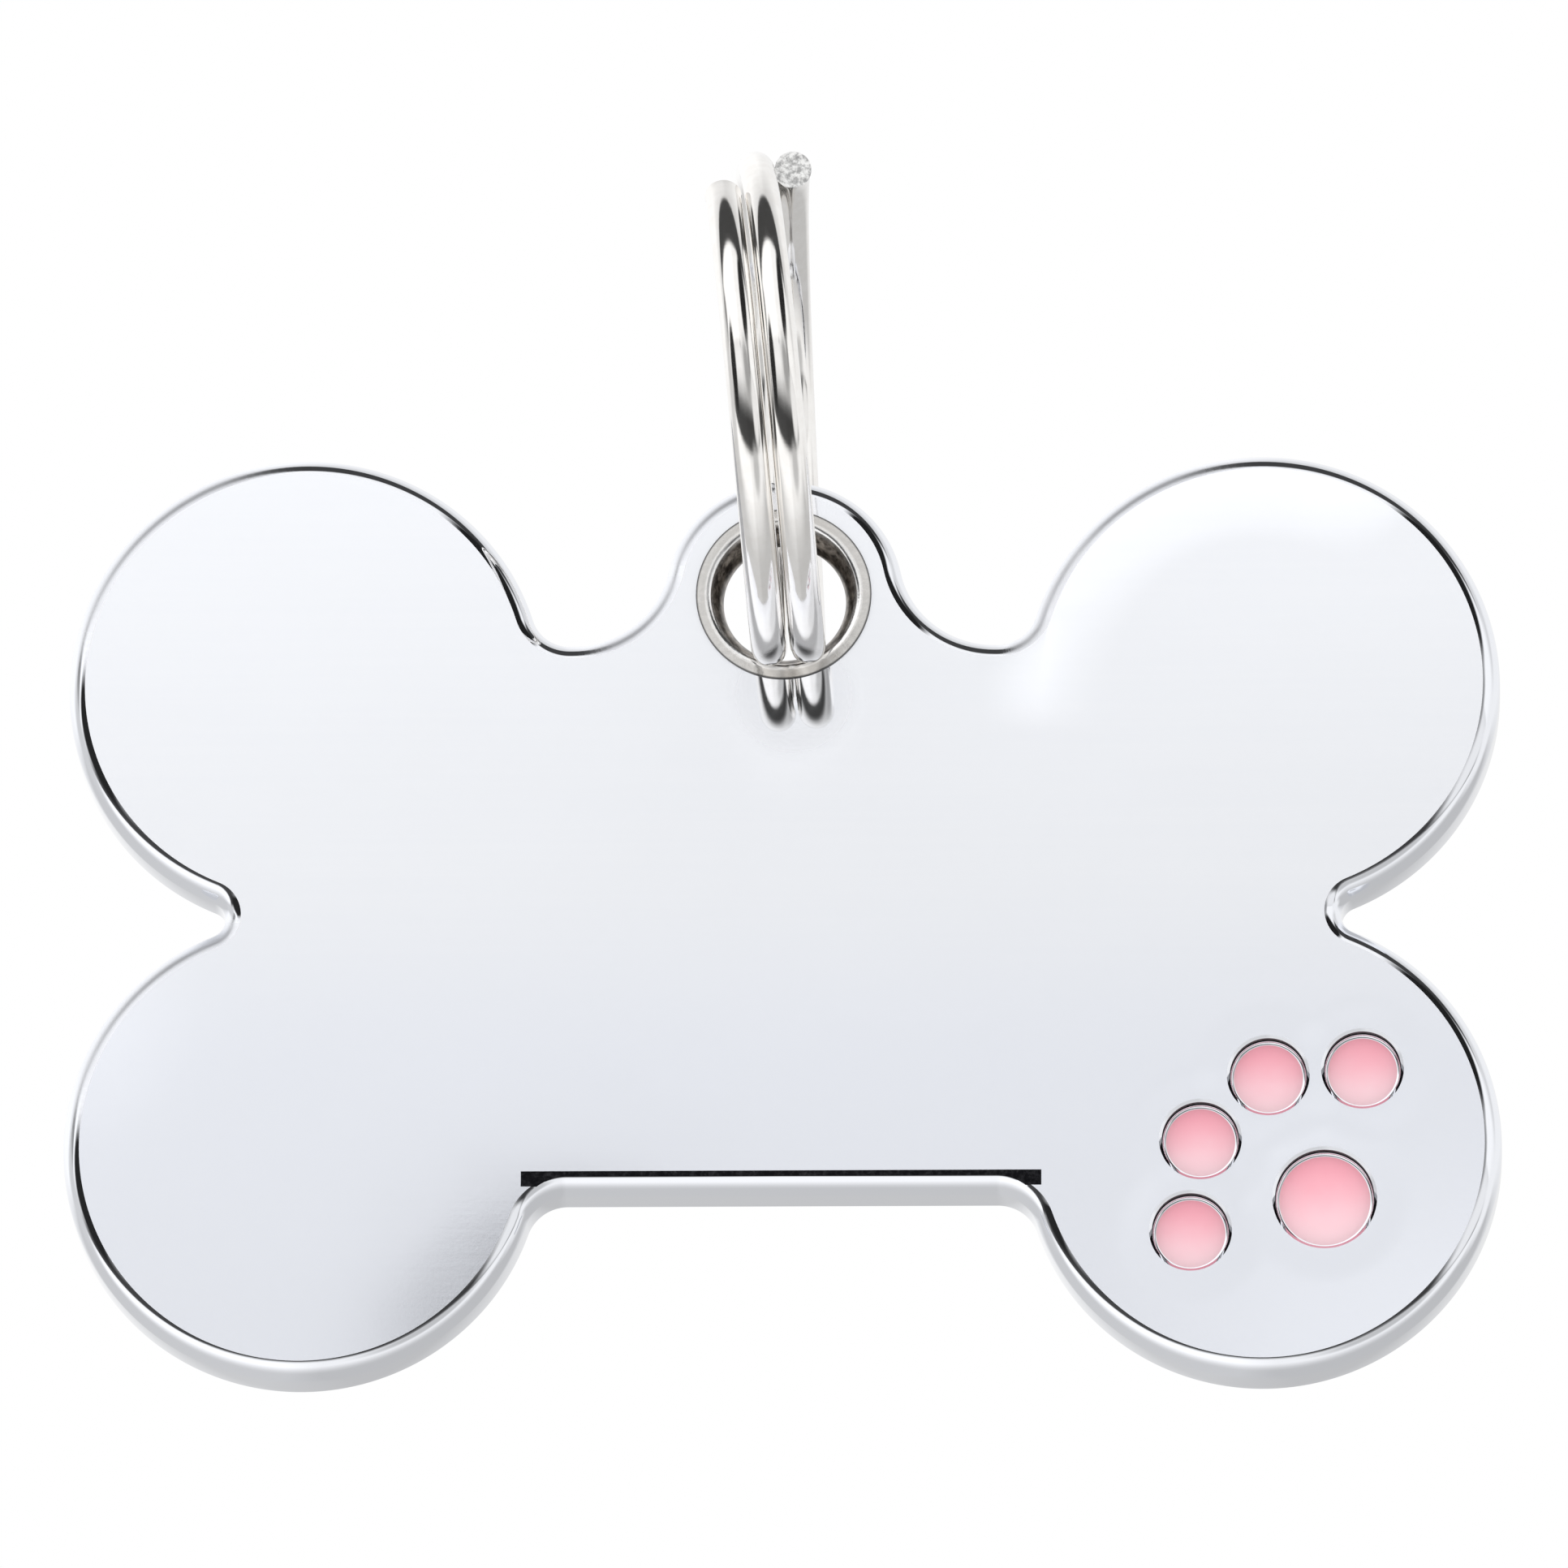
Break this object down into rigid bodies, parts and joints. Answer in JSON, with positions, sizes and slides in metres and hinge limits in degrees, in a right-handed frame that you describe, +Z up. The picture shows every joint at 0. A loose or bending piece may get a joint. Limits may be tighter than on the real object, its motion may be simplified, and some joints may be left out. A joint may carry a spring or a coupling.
{
  "type": "pet id tag",
  "caption": "Bone-shaped mirror-polished pet id tag with an enamelled paw print and an eyelet, hanging on a wire split ring that threads onto a collar loop.",
  "frame": {"origin": "middle of the split ring, where a collar's loop takes it", "axes": "+X across the tag towards the paw print, +Z up with the tag hanging, the tag's face looks along -Y"},
  "size_m": [0.0421, 0.0151, 0.0358],
  "materials": {
    "ring_wire": "bright plated steel wire, sheared ends",
    "polished_plate": "mirror-polished plated face, bright rounded edges",
    "eyelet_metal": "plated, rolled flanges, darker throat",
    "enamel": "glossy pink enamel fill, slightly dished"
  },
  "bodies": {
    "ring": {"split_ring": "ring_wire"},
    "tag": {"tag_plate": "polished_plate", "eyelet": "eyelet_metal", "heel_pad": "enamel", "toe_pad_1": "enamel", "toe_pad_2": "enamel", "toe_pad_3": "enamel", "toe_pad_4": "enamel"}
  },
  "joints": [
    {"name": "tag_swing", "type": "hinge", "parent": "ring", "child": "tag", "pos_m": [0.00014, 0.00469, -0.00465], "axis": [0, 1, 0], "range_deg": [-60, 60]}
  ]
}
